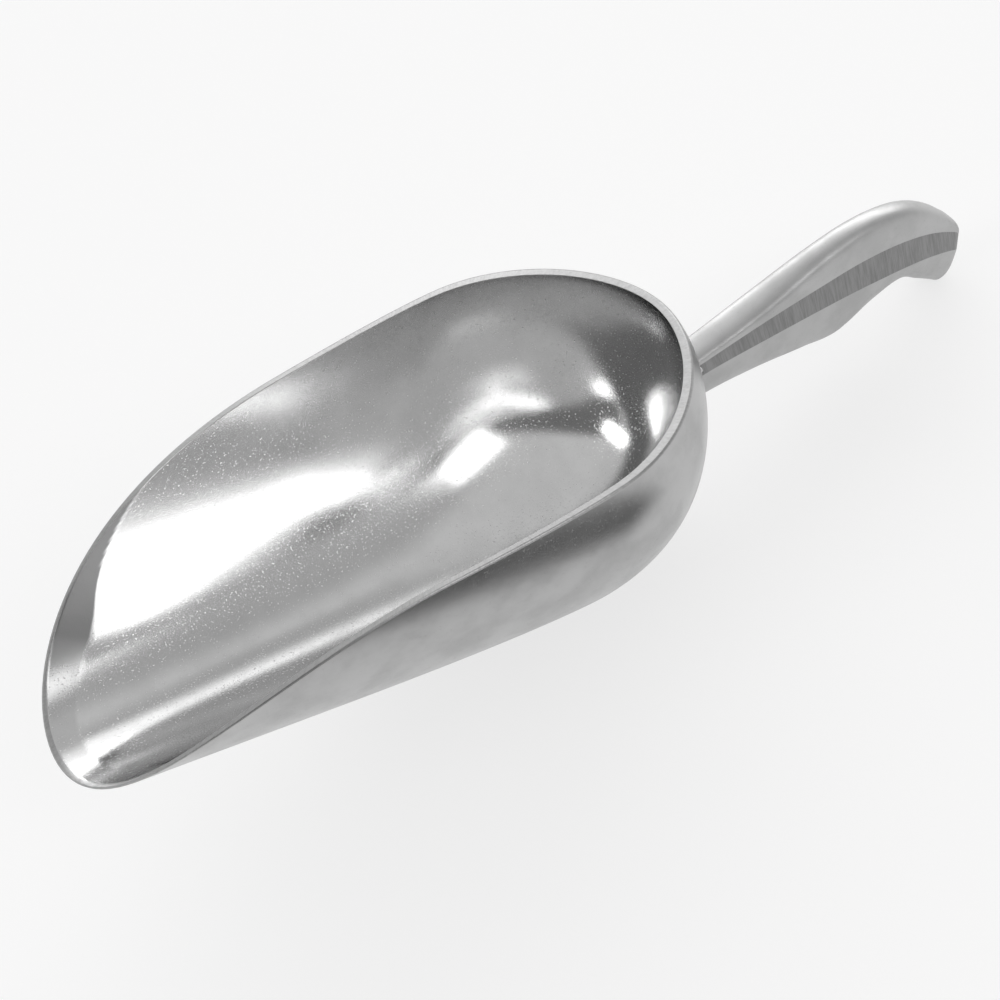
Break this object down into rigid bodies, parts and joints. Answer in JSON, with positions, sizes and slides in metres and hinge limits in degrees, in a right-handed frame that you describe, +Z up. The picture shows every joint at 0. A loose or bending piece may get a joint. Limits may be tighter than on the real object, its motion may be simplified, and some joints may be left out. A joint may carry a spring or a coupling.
{
  "type": "bulk scoop",
  "caption": "Cast aluminium bulk scoop: a thin oval bowl cut off obliquely to a rounded lip, with a solid contoured handle welded to its back.",
  "frame": {"origin": "under the middle of the box, on the table plane on which the scoop rests on the heel of its bowl and the butt of its handle", "axes": "+X from the lip to the handle's butt, +Y to the left of someone who looks from the lip to the handle, +Z up"},
  "size_m": [0.3344, 0.1074, 0.083],
  "materials": {
    "bowl": "satin cast aluminium, fine tumbled grain",
    "handle": "satin cast aluminium with ground flats",
    "neck_weld": "rippled weld bead, as laid"
  },
  "bodies": {
    "root": {"bowl": "bowl", "handle": "handle", "neck_weld": "neck_weld"}
  },
  "joints": []
}
